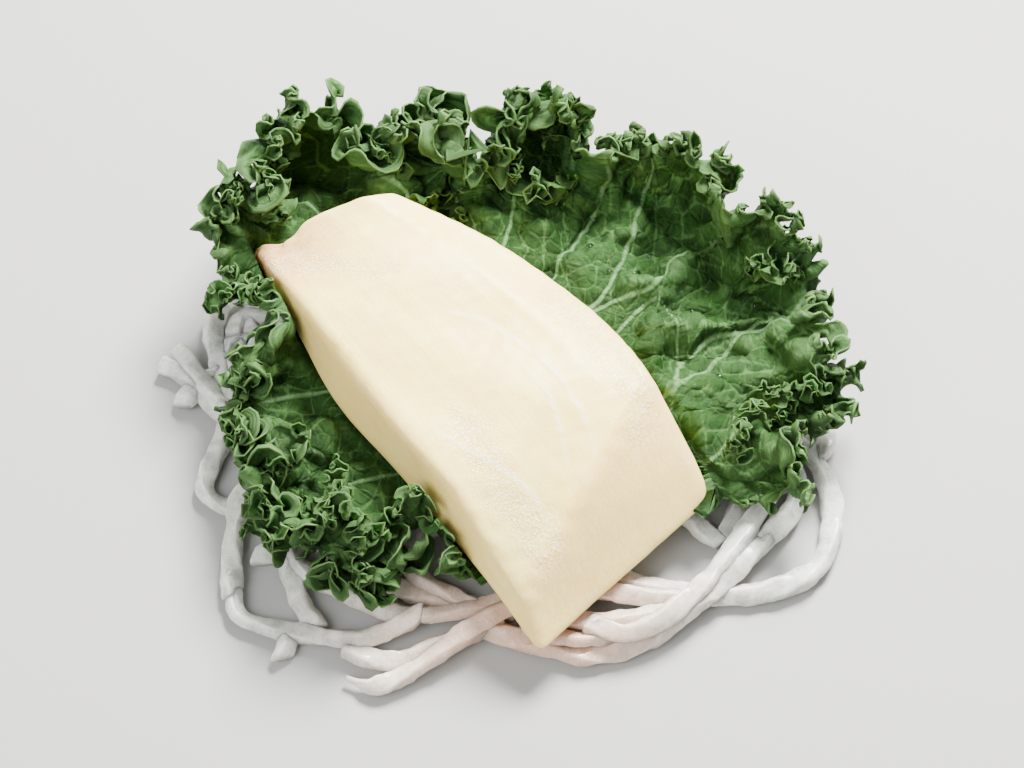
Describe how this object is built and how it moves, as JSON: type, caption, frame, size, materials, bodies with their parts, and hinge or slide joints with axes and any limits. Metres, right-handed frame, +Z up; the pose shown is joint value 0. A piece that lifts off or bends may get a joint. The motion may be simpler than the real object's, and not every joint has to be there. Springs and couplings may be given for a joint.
{
  "type": "white tuna sashimi slice on kale and shredded radish",
  "caption": "Thick pale slice of raw white tuna lying on a curly kale leaf, over a loose bed of shredded white radish.",
  "frame": {"origin": "on the surface that the bed of shreds stands on, under the middle of the whole part's box", "axes": "+X to the viewer's right and +Y away from the viewer as pictured, +Z up"},
  "size_m": [0.09, 0.0782, 0.0219],
  "materials": {
    "tuna_flesh": "moist ivory flesh, satin with small wet highlights",
    "kale": "waxy green leaf, satin, with pale veins and edges",
    "radish": "wet translucent white shreds",
    "water": "clear water drops"
  },
  "bodies": {
    "root": {"tuna_slice": "tuna_flesh", "kale_leaf": "kale", "radish_shreds": "radish"}
  },
  "joints": []
}
